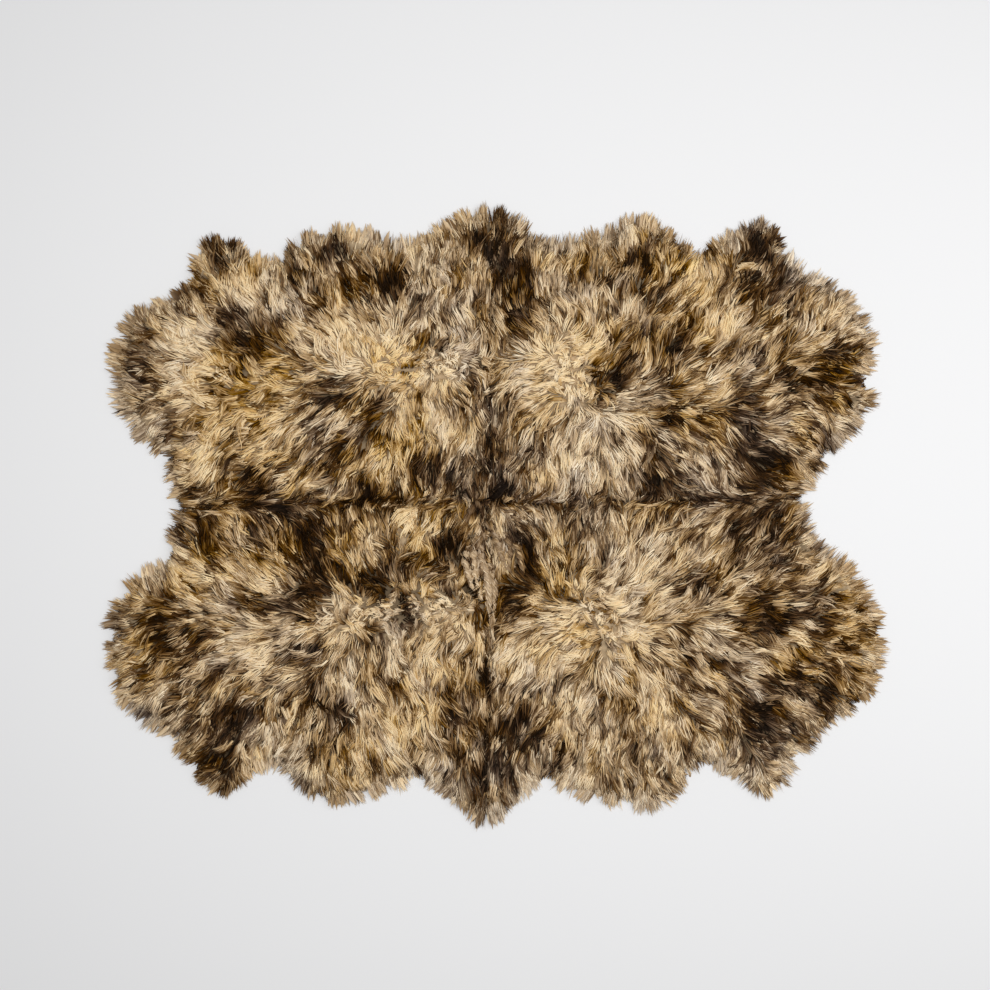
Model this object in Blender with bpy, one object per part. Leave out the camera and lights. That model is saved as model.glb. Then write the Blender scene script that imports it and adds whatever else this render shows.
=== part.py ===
"""A sheepskin rug of four skins, sewn together along a lengthwise and a crosswise seam and laid flat.

Each skin is one lumpy slab of long wool, flat underneath, with separate locks of wool round its free edge.
The seams cross near the rug's middle. Units are metres, +Z is up, +X runs along the rug's longer side.
"""

from collections import namedtuple
import math
import random

import bmesh
import bpy
from mathutils import Vector, noise

# Driving sizes of the wool
MM = 0.001
WOOL_HEIGHT = 45 * MM
SEAM_HEIGHT = 30 * MM
RIM_HEIGHT = 21 * MM
EDGE_RISE = 90 * MM
SEAM_RISE = 48 * MM

# The skins stand this far apart at a seam, and each seam runs this much askew, as a share of its length
SEAM_GAP = 0.3 * MM
SEAM_LEAN = 0.011
SEAM_STEPS = 11

# Lumps in the wool's top: broad swells, tufts the size of a few locks, and a rise where the wool parts
SWELL_HEIGHT = 8 * MM
SWELL_LENGTH = 160 * MM
TUFT_HEIGHT = 8 * MM
TUFT_LENGTH = 72 * MM
CROWN_RISE = 5 * MM
CROWN_REACH = 90 * MM

# Locks of wool round the free edge of a skin
LOCKS_PER_SKIN = 72
LOCK_LENGTH = 44 * MM
LOCK_SHORTEST = 0.72
LOCK_LONGEST = 1.04
LOCK_SWAY = 5 * MM
LOCK_SPREAD = 0.4
LOCK_MIDDLE = 0.5
LOCK_MIDDLE_WIDTH = 0.62
LOCK_MIDDLE_HEIGHT = 0.6
LOCK_TIP_HEIGHT = 1.0 * MM

# Rings of points run round a spine, which lies this far from the skin's seams. The first ring is close
# round the spine, and the ring shares say how far each one has come from there to the rim.
SPINE_NEAR = 110 * MM
SPINE_FAR = 480 * MM
SPINE_ALONG = 290 * MM
FIRST_RING = 25 * MM
RING_SHARES = (0.0, 0.12, 0.24, 0.35, 0.46, 0.56, 0.65, 0.74, 0.82, 0.89, 0.95, 1.0)
CURVE_STEPS = 24
WOOL_ROUGHNESS = 0.9

# Each skin's free edge at the tips of its wool, from the lengthwise seam round to the crosswise seam.
# Columns: the form at that place, its distance in mm from the lengthwise seam, and from the crosswise seam
EdgeRow = namedtuple("EdgeRow", "form across_mm along_mm")

BACK_RIGHT_EDGE = (
    EdgeRow("seam lobe", 0, 674),
    EdgeRow("shoulder", 35, 666),
    EdgeRow("shoulder", 83, 629),
    EdgeRow("notch", 140, 601),
    EdgeRow("shoulder", 247, 618),
    EdgeRow("back lobe", 312, 644),
    EdgeRow("shoulder", 394, 626),
    EdgeRow("notch", 444, 582),
    EdgeRow("notch", 482, 582),
    EdgeRow("corner lobe", 596, 638),
    EdgeRow("shoulder", 653, 605),
    EdgeRow("dip", 698, 537),
    EdgeRow("shoulder", 800, 477),
    EdgeRow("side lobe", 850, 418),
    EdgeRow("side lobe", 878, 328),
    EdgeRow("dip", 859, 265),
    EdgeRow("side lobe", 875, 231),
    EdgeRow("shoulder", 864, 197),
    EdgeRow("shoulder", 824, 137),
    EdgeRow("dip", 770, 82),
    EdgeRow("waist", 722, 0),
)
FRONT_RIGHT_EDGE = (
    EdgeRow("seam lobe", 0, 729),
    EdgeRow("shoulder", 46, 718),
    EdgeRow("shoulder", 82, 673),
    EdgeRow("notch", 122, 645),
    EdgeRow("notch", 160, 643),
    EdgeRow("shoulder", 217, 673),
    EdgeRow("front lobe", 307, 694),
    EdgeRow("front lobe", 374, 699),
    EdgeRow("shoulder", 432, 671),
    EdgeRow("notch", 488, 608),
    EdgeRow("shoulder", 542, 625),
    EdgeRow("corner lobe", 590, 656),
    EdgeRow("corner lobe", 631, 675),
    EdgeRow("shoulder", 678, 646),
    EdgeRow("dip", 711, 593),
    EdgeRow("dip", 770, 530),
    EdgeRow("shoulder", 856, 464),
    EdgeRow("side lobe", 888, 416),
    EdgeRow("side lobe", 901, 340),
    EdgeRow("side lobe", 889, 250),
    EdgeRow("shoulder", 869, 215),
    EdgeRow("shoulder", 828, 150),
    EdgeRow("dip", 756, 86),
    EdgeRow("waist", 722, 0),
)
FRONT_LEFT_EDGE = (
    EdgeRow("seam lobe", 0, 729),
    EdgeRow("shoulder", 49, 704),
    EdgeRow("shoulder", 98, 663),
    EdgeRow("notch", 152, 635),
    EdgeRow("shoulder", 233, 657),
    EdgeRow("front lobe", 323, 683),
    EdgeRow("shoulder", 391, 666),
    EdgeRow("notch", 470, 604),
    EdgeRow("shoulder", 515, 613),
    EdgeRow("corner lobe", 562, 649),
    EdgeRow("corner lobe", 605, 657),
    EdgeRow("shoulder", 645, 637),
    EdgeRow("shoulder", 672, 592),
    EdgeRow("dip", 720, 530),
    EdgeRow("shoulder", 787, 482),
    EdgeRow("side lobe", 839, 432),
    EdgeRow("side lobe", 860, 360),
    EdgeRow("side lobe", 858, 240),
    EdgeRow("shoulder", 835, 193),
    EdgeRow("shoulder", 793, 146),
    EdgeRow("dip", 737, 112),
    EdgeRow("waist", 712, 0),
)
BACK_LEFT_EDGE = (
    EdgeRow("seam lobe", 0, 674),
    EdgeRow("shoulder", 41, 669),
    EdgeRow("shoulder", 90, 649),
    EdgeRow("notch", 157, 610),
    EdgeRow("notch", 214, 604),
    EdgeRow("back lobe", 281, 624),
    EdgeRow("back lobe", 338, 634),
    EdgeRow("shoulder", 425, 614),
    EdgeRow("notch", 476, 568),
    EdgeRow("shoulder", 535, 580),
    EdgeRow("corner lobe", 568, 605),
    EdgeRow("corner lobe", 607, 619),
    EdgeRow("shoulder", 657, 598),
    EdgeRow("dip", 683, 548),
    EdgeRow("dip", 708, 493),
    EdgeRow("shoulder", 805, 454),
    EdgeRow("side lobe", 841, 398),
    EdgeRow("side lobe", 858, 330),
    EdgeRow("side lobe", 854, 242),
    EdgeRow("shoulder", 842, 208),
    EdgeRow("shoulder", 800, 153),
    EdgeRow("dip", 743, 102),
    EdgeRow("waist", 720, 0),
)

# The crown is where the wool parts and leans away on every side. Columns: the skin, the sign of its side in
# x and in y, its crown's distance in mm from the lengthwise and from the crosswise seam, its edge, its colour
Skin = namedtuple("Skin", "name side_x side_y crown_across_mm crown_along_mm edge colour")
SKINS = (
    Skin("skin_back_right", 1, 1, 170, 275, BACK_RIGHT_EDGE, (0.45, 0.32, 0.20)),
    Skin("skin_front_right", 1, -1, 246, 255, FRONT_RIGHT_EDGE, (0.42, 0.30, 0.19)),
    Skin("skin_front_left", -1, -1, 267, 276, FRONT_LEFT_EDGE, (0.36, 0.25, 0.16)),
    Skin("skin_back_left", -1, 1, 154, 292, BACK_LEFT_EDGE, (0.46, 0.33, 0.21)),
)


def clear_scene():
    for old in list(bpy.data.objects):
        bpy.data.objects.remove(old)


def edge_curve(rows):
    """A smooth line through an edge's rows, as points in the skin's own quarter of the rug."""
    knots = [Vector((row.across_mm * MM, row.along_mm * MM)) for row in rows]
    first = Vector((-knots[1].x, knots[1].y))
    last = Vector((knots[-2].x, -knots[-2].y))
    knots = [first, *knots, last]
    line = []
    for before, start, end, after in zip(knots, knots[1:], knots[2:], knots[3:]):
        for step in range(CURVE_STEPS):
            t = step / CURVE_STEPS
            bend = (end - before) * t + (2 * before - 5 * start + 4 * end - after) * t * t
            bend += (3 * start - before - 3 * end + after) * t * t * t
            line.append(start + bend / 2)
    line.append(knots[-2])
    return line


def spaced(line, shares):
    """Points at these shares of a line's length."""
    lengths = [0.0]
    for start, end in zip(line, line[1:]):
        lengths.append(lengths[-1] + (end - start).length)
    found = []
    at = 0
    for share in shares:
        wanted = share * lengths[-1]
        while at < len(line) - 2 and lengths[at + 1] < wanted:
            at += 1
        part = (wanted - lengths[at]) / (lengths[at + 1] - lengths[at])
        found.append(line[at].lerp(line[at + 1], part))
    return found


def inside_seams(point):
    """Keep a point on its own side of both seams."""
    half_gap = SEAM_GAP / 2
    return Vector((max(point.x, half_gap), max(point.y, half_gap)))


def nearest_on_spine(point):
    return Vector((min(max(point.x, SPINE_NEAR), SPINE_FAR), SPINE_ALONG))


def lock_direction(line, share):
    """Which way a lock points: out from the spine, and part of the way square to the edge."""
    step = 1 / LOCKS_PER_SKIN
    before, point, after = spaced(line, [max(share - step, 0), share, min(share + step, 1)])
    along = (after - before).normalized()
    square = Vector((-along.y, along.x))
    outward = (point - nearest_on_spine(point)).normalized()
    return (outward.lerp(square, LOCK_SPREAD)).normalized()


def lock_roots(line):
    """Points between the roots of the locks, one more than there are locks."""
    shares = [step / LOCKS_PER_SKIN for step in range(LOCKS_PER_SKIN + 1)]
    roots = []
    for share, point in zip(shares, spaced(line, shares)):
        roots.append(inside_seams(point - lock_direction(line, share) * LOCK_LENGTH))
    # The first and the last lie on the seams themselves.
    roots[0].x = SEAM_GAP / 2
    roots[-1].y = SEAM_GAP / 2
    return roots


def lock_tips(line, rng):
    """Tips of the locks, on the outline or a little short of it."""
    shares = [(step + 0.5) / LOCKS_PER_SKIN for step in range(LOCKS_PER_SKIN)]
    tips = []
    for share, point in zip(shares, spaced(line, shares)):
        outward = lock_direction(line, share)
        sideways = Vector((-outward.y, outward.x))
        reach = (rng.uniform(LOCK_SHORTEST, LOCK_LONGEST) - 1) * LOCK_LENGTH
        tips.append(inside_seams(point + outward * reach + sideways * rng.uniform(-LOCK_SWAY, LOCK_SWAY)))
    return tips


def seam_points(roots):
    """Points along the two seams, from the last root round by the crossing to the first root."""
    corner = Vector((SEAM_GAP / 2, SEAM_GAP / 2))
    cross_seam = [roots[-1].lerp(corner, step / SEAM_STEPS) for step in range(1, SEAM_STEPS)]
    long_seam = [corner.lerp(roots[0], step / SEAM_STEPS) for step in range(SEAM_STEPS)]
    return cross_seam + long_seam


def fall(distance, reach):
    """How much of a border's drop is left this far in from it: 1 at the border, 0 past its reach."""
    share = min(distance / reach, 1.0)
    return 1 - share * share * (3 - 2 * share)


def wool_top(point, roots, skin):
    """Height of the wool's top: a low dome with lumps, which falls towards the rim and the seams."""
    from_rim = min((point - root).length for root in roots)
    at_rim = fall(from_rim, EDGE_RISE)
    at_seam = fall(min(point.x, point.y), SEAM_RISE)
    drop = math.hypot((WOOL_HEIGHT - RIM_HEIGHT) * at_rim, (WOOL_HEIGHT - SEAM_HEIGHT) * at_seam)

    place = Vector((point.x * skin.side_x, point.y * skin.side_y, 0.0))
    lumps = SWELL_HEIGHT * noise.noise(place / SWELL_LENGTH) + TUFT_HEIGHT * noise.noise(place / TUFT_LENGTH)
    crown = Vector((skin.crown_across_mm * MM, skin.crown_along_mm * MM))
    swirl = CROWN_RISE * math.exp(-((point - crown).length / CROWN_REACH) ** 2)
    return WOOL_HEIGHT - drop + lumps * (1 - at_rim) + swirl


def raise_lock(bm, wall, tip):
    """Draw one rim face out into a lock, a four-sided taper that lies level on the floor."""
    face = bmesh.ops.extrude_discrete_faces(bm, faces=[wall])["faces"][0]
    start = face.calc_center_median()
    tip_point = Vector((tip.x, tip.y, LOCK_TIP_HEIGHT))
    middle = start.lerp(tip_point, LOCK_MIDDLE)
    for vert in face.verts:
        height = vert.co.z * LOCK_MIDDLE_HEIGHT
        vert.co = middle + (vert.co - start) * LOCK_MIDDLE_WIDTH
        vert.co.z = height
    point = bmesh.ops.poke(bm, faces=[face])["verts"][0]
    point.co = tip_point


def make_skin(skin, rng):
    """One skin: rings of points from the spine out to the rim, a flat underside, and the edge's locks."""
    line = edge_curve(skin.edge)
    roots = lock_roots(line)
    rim = roots + seam_points(roots)
    bm = bmesh.new()

    def top_vert(point):
        return bm.verts.new((point.x, point.y, wool_top(point, roots, skin)))

    hub = [nearest_on_spine(point) for point in rim]
    first_ring = [near + (point - near).normalized() * FIRST_RING for near, point in zip(hub, rim)]
    rings = []
    for share in RING_SHARES:
        rings.append([top_vert(start.lerp(point, share)) for start, point in zip(first_ring, rim)])
    floor_ring = [bm.verts.new((point.x, point.y, 0.0)) for point in rim]

    walls = []
    for i in range(len(rim)):
        after = (i + 1) % len(rim)
        for inner, outer in zip(rings, rings[1:]):
            bm.faces.new((inner[i], outer[i], outer[after], inner[after]))
        walls.append(bm.faces.new((rings[-1][i], floor_ring[i], floor_ring[after], rings[-1][after])))
    bm.faces.new(floor_ring[::-1])
    spine_strip = bm.faces.new(rings[0])
    bmesh.ops.triangulate(bm, faces=[spine_strip])
    for wall, tip in zip(walls, lock_tips(line, rng)):
        raise_lock(bm, wall, tip)
    place_in_rug(bm, skin)

    mesh = bpy.data.meshes.new(skin.name)
    bm.to_mesh(mesh)
    bm.free()
    mesh.materials.append(wool_material(skin))
    mesh.shade_smooth()
    return bpy.data.objects.new(skin.name, mesh)


def place_in_rug(bm, skin):
    """Turn a skin from its own quarter to its place in the rug, with the seams' slight lean."""
    for vert in bm.verts:
        x = vert.co.x * skin.side_x
        y = vert.co.y * skin.side_y
        vert.co.x = x + SEAM_LEAN * y
        vert.co.y = y + SEAM_LEAN * x
    # The rings run clockwise seen from above, and mirroring over one seam alone turns the faces over.
    if skin.side_x == skin.side_y:
        bmesh.ops.reverse_faces(bm, faces=bm.faces)


def wool_material(skin):
    material = bpy.data.materials.new(skin.name + "_wool")
    material.use_nodes = True
    shader = material.node_tree.nodes["Principled BSDF"]
    shader.inputs["Base Color"].default_value = (*skin.colour, 1.0)
    shader.inputs["Roughness"].default_value = WOOL_ROUGHNESS
    shader.inputs["Metallic"].default_value = 0.0
    return material


def centre_on_floor(objects):
    """Move the skins so that the origin is on the floor, under the middle of the whole rug."""
    points = [vert.co for obj in objects for vert in obj.data.vertices]
    low = Vector([min(point[axis] for point in points) for axis in range(3)])
    high = Vector([max(point[axis] for point in points) for axis in range(3)])
    shift = Vector((-(low.x + high.x) / 2, -(low.y + high.y) / 2, -low.z))
    for obj in objects:
        for vert in obj.data.vertices:
            vert.co += shift


def main():
    clear_scene()
    collection = bpy.data.collections.new("sheepskin_rug")
    bpy.context.scene.collection.children.link(collection)
    rng = random.Random(4)
    objects = [make_skin(skin, rng) for skin in SKINS]
    centre_on_floor(objects)
    for obj in objects:
        collection.objects.link(obj)


main()
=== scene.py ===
"""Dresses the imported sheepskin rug: four suede hides sewn edge to edge, each with its thick mottled wool.

The wool is modelled strand by strand. Strands stand in locks that lean away from each skin's crown, where
the wool parts, and droop over the rim to the floor. Each strand is a small closed mesh, thick in the middle
and pointed at both ends, and carries its own colour from root to tip.
"""

from collections import namedtuple

import bmesh
import bpy
import numpy as np
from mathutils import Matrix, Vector
from mathutils.bvhtree import BVHTree
from mathutils.kdtree import KDTree


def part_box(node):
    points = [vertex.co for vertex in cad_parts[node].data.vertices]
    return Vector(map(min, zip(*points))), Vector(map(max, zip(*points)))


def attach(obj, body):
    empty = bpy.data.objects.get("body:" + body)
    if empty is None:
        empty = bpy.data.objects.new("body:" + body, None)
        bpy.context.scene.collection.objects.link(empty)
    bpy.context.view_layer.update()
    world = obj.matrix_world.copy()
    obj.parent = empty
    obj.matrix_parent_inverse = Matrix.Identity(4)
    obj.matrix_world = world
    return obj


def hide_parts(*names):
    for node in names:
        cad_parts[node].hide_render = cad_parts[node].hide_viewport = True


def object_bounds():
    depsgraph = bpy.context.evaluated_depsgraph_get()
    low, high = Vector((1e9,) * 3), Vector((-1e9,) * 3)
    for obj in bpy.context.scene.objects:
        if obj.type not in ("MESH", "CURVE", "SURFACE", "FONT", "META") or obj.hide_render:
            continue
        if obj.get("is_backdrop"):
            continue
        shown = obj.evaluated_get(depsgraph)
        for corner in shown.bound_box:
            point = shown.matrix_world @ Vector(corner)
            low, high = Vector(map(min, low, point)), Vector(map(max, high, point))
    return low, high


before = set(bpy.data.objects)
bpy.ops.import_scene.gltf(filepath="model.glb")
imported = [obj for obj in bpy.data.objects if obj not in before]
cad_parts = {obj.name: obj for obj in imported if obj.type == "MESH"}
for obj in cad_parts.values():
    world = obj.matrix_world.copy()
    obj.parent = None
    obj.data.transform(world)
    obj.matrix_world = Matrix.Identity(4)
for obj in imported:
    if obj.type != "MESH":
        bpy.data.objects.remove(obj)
CAD_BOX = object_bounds()

bl_info = {
    "name": "Sheepskin rug",
    "version": (1, 0, 0),
    "blender": (4, 5, 0),
    "location": "3D View > Sidebar > Rug",
    "description": "Grows the mottled wool of a rug of four sheepskins and sets it on a pale studio floor",
    "category": "Object",
}

MM = 0.001
BODY = "root"

# Where the two seams cross, and how far askew each runs, as a share of its length
SEAM_CROSSING = np.array((-16.5, 25.4)) * MM
SEAM_LEAN = 0.011

# Beside the lengthwise and the crosswise seam the wool turns to run along it: how much of its lean
# across the seam is left there, and how wide the strip is
SEAM_BEND = np.array((0.12, 0.1))
SEAM_BEND_WIDTH_MM = np.array((85, 48))

# The crown is where a skin's wool parts and leans away on every side: a line from one point to another.
# Columns: the skin, the sign of its side in x and y, the crown's two ends, and how much more the wool
# leans across the rug than along it, on the crown's side away from the crosswise seam and on its side
# towards it
Skin = namedtuple("Skin", "node side_x side_y from_x_mm from_y_mm to_x_mm to_y_mm fan_out fan_in")
SKINS = (
    Skin("skin_back_left", -1, 1, -235, 318, -100, 334, 3.0, 1.2),
    Skin("skin_back_right", 1, 1, 154, 345, 195, 272, 2.8, 1.9),
    Skin("skin_front_left", -1, -1, -295, -224, -90, -204, 1.5, 2.0),
    Skin("skin_front_right", 1, -1, 206, -193, 252, -250, 1.8, 1.6),
)

# Where the wool is tousled, besides the crowns. Columns: the place, its middle and how far it reaches
Tousle = namedtuple("Tousle", "place x_mm y_mm reach_mm")
TOUSLES = (
    Tousle("back left flank", -600, 285, 95),
    Tousle("front left crossing", -163, -105, 75),
    Tousle("crossing", -16, -20, 60),
)

# Where the wool is more golden or greyer. Columns: the place, its middle, how far it reaches, and its
# warmth, above 0 for golden and below 0 for grey
Tint = namedtuple("Tint", "place x_mm y_mm reach_mm warmth")
TINTS = (
    Tint("crossing", -16, 10, 95, -0.18),
    Tint("front left crossing", -150, -110, 75, 0.25),
    Tint("front left seam", -336, -409, 45, -0.25),
    Tint("back left flank", -590, 290, 110, 0.12),
    Tint("back left saddle", -480, 230, 70, 0.12),
    Tint("back right seam", 370, 97, 90, -0.15),
    Tint("front right crossing", 150, -15, 90, -0.1),
    Tint("back left crown", -270, 345, 90, 0.12),
    Tint("back right crown", 150, 330, 90, 0.1),
    Tint("front right crown", 240, -215, 110, 0.08),
)

# How the wool changes about each crown: how far out it reaches its full fan and its full length, its
# length at the crown, how far the crown's whorl tousles it, and how far out it has twice the strands
FAN_REACH = 180 * MM
FULL_LENGTH_REACH = 80 * MM
CROWN_LENGTH = 0.4
WHORL_REACH = 50 * MM
THICKET_REACH = 45 * MM

# Near the rim the wool leans partly as the solids' edge locks do: how much, from where, and over what
# width
RIM_LEAN = 0.55
RIM_LEAN_START = 5 * MM
RIM_LEAN_WIDTH = 50 * MM

# Near the rim the strands are also straighter, less curled, less gathered, finer, more uneven in
# length, paler and greyer: over what width, and by how much
RIM_WIDTH = 55 * MM
RIM_STRAIGHTER = 0.7
RIM_LESS_CURLED = 0.6
RIM_LOOSER = 0.95
RIM_FINER = 0.5
RIM_MORE_UNEVEN = 0.2
RIM_PALER = 0.45
RIM_GREYER = 0.1
RIM_OVERHANG = 13 * MM

# How locks differ. Turns and curls are in radians, more where the wool is tousled and at the crown
LOCK_TURN, LOCK_TURN_TOUSLED, LOCK_TURN_CROWN = 0.2, 0.3, 1.2
LOCK_TURN_REACH = 20 * MM
LOCK_CURL, LOCK_CURL_TOUSLED = 0.25, 0.35
LOCK_GROWTH = (0.8, 1.2)
LOCK_LIFT = 5 * MM
LOCK_TONE = 0.33
LOCK_TIP_TONE = 0.24
LOCK_WARMTH = 0.06
LOCK_ROOT_SHADE = 0.05

# How wisps differ within a lock, and strands within a wisp, and how much paler a strand lifted by so
# much is painted, and one sunk by so much darker, as painted shade deep in the wool
WISP_TURN, WISP_TURN_CROWN = 0.12, 0.5
WISP_TURN_REACH = 30 * MM
WISP_CURL = 0.18
WISP_GROWTH = (0.85, 1.1)
WISP_LIFT = 1.3 * MM
WISP_SLIP = 10 * MM
WISP_TONE = 0.17
STRAND_TURN = 0.06
STRAND_LONGEST = 1.06
STRAND_UNEVEN = 0.27
STRAND_LIFT = 0.7 * MM
STRAND_WIDTHS = (0.7, 1.25)
LIFTED_BY = 14 * MM
LIFT_PAINTED_SHADE = 0.3

# A strand's width near its tip, as a share of its width near its root, the shades of its first two
# points, as shares of its lower half's, which paint the shade near its root darker, and the power of its
# length by which it draws in to its wisp
STRAND_TAPER = 0.72
STRAND_ROOT_PAINTED_SHADE = (0.82, 0.96)
GATHER_POWER = 1.4
STRAND_WARMTH = 0.05

# Points along a strand. Columns: the share of its length, the share of the solids' height there, the
# share of its lift, and its least height
StrandStep = namedtuple("StrandStep", "share rise lift least_mm")
STRAND_STEPS = (
    StrandStep(0, 0.5, 0, 2),
    StrandStep(0.24, 0.93, 0.8, 5),
    StrandStep(0.68, 0.99, 1, 3.5),
    StrandStep(1, 0.9, 0.85, 2),
)

# Points along a hair of the fringe. Columns: the share of its length, the share of its bow, its least
# height, and how much higher the topmost hair is
FringeStep = namedtuple("FringeStep", "share sway least_mm rise_mm")
FRINGE_STEPS = (
    FringeStep(0, 0, 3, 13),
    FringeStep(0.34, 1, 4, 15),
    FringeStep(0.7, 0.8, 2.2, 10),
    FringeStep(1, 0, 0.8, 5),
)

# The fringe: how much it follows the wool's lean over the edge locks', how far in its roots lie, its
# hairs' spread, lengths and widths, and the shade that its tips tend to
FRINGE_COMBED = 1.2
FRINGE_DEPTH = 24 * MM
FRINGE_SPREAD = 4.5 * MM
FRINGE_LONGEST = 1.26
FRINGE_UNEVEN = 0.8
FRINGE_WIDTHS = (0.26, 0.46)
FRINGE_TIP_SHADE = 0.68

# Tones of the fringe against the wool behind it: paler by this much, and how much they differ
FRINGE_PALER = 0.35
FRINGE_TONE = 0.28

# Small differences of shade from strand to strand, and the share of darker hairs and how much darker
GRAIN = 0.018
DARK_HAIRS = 0.12
DARK_HAIR_DARKER = 0.06

# How far a strand may reach over a seam, and the least share of its length that it keeps there
SEAM_OVERHANG = 5 * MM
SEAM_LEAST_LENGTH = 0.35

# How the solids show their edge locks: tips lie at about this height, and their middles in this band
LOCK_TIP_HEIGHT = (0.5 * MM, 1.6 * MM)
LOCK_MIDDLE_HEIGHT = (8.5 * MM, 14 * MM)
SLAB_EDGE_HEIGHT = 14.5 * MM

# Underwool: its height as a share of the solids' and at its least, and how far it is drawn in at the rim
UNDERWOOL_HEIGHT = 0.72
UNDERWOOL_LEAST = 0.2
UNDERWOOL_INSET = 8 * MM

# Grids over the plan: how far they run past the solids, and their squares for heights and for the
# wool's lean
GRID_MARGIN = 70 * MM
GROUND_CELL = 5 * MM
COMB_CELL = 8 * MM

# Cells of each noise before it repeats
LATTICE = 256

# Random swells of a value over the plan. Columns: their strength, how far apart they are, and their seed
Swell = namedtuple("Swell", "strength length_mm seed")
LEAN_SWELLS = (Swell(0.35, 90, 21), Swell(0.4, 34, 22))
FRINGE_BEND_SWELLS = (Swell(0.1, 40, 23),)
MOTTLE_SWELLS = (Swell(0.38, 34, 41), Swell(0.72, 19, 42), Swell(0.2, 75, 43))
WARMTH_SWELLS = (Swell(0.18, 110, 51), Swell(0.17, 36, 52))
SEAM_WANDER_SWELLS_MM = (Swell(10, 60, 61), Swell(6, 22, 62))
PATCH_WARP_SWELLS_MM = ((Swell(26, 48, 31), Swell(12, 18, 33)), (Swell(26, 48, 32), Swell(12, 18, 34)))

# Streaks of tone drawn out along the lean. Columns: their strength, width, length and seed
Streak = namedtuple("Streak", "strength width_mm length_mm seed")
STREAKS = (Streak(0.28, 6, 16, 71), Streak(0.46, 12, 14, 72))
STREAK_STEPS = 8

# The parting over a seam: its width, its depth and the painted shade of its groove, and the swells in both
PARTING_WIDTH = 8 * MM
PARTING_DEPTH_MM = 5
PARTING_DEPTH_SWELLS_MM = (Swell(3, 50, 63),)
PARTING_PAINTED_SHADE = -0.6
PARTING_PAINTED_SHADE_SWELLS = (Swell(0.6, 45, 45),)

# How deep the wool lies in the darkest patches, from which tone, and over what change of tone it gets
# there
HOLLOW_DEPTH_MM = 7
HOLLOW_TONE = 0.8
HOLLOW_CHANGE = 0.9

# How strongly the patches colour the wool, and the palest and the darkest that they alone make it
PATCH_STRENGTH = 1.55
PALE_LIMIT = 1.6
DARK_LIMIT = 1.8

# A tone becomes a shade along a curve: how steep, how much paler than even, and the darkest and palest
# shades
SHADE_STEEPNESS = 2.4
SHADE_PALER = 0.09
SHADES = (0.03, 0.97)

# How golden the wool is on the whole, and how much greyer its fringe
WARMTH = 0.57
FRINGE_GREYER = 0.14
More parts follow.
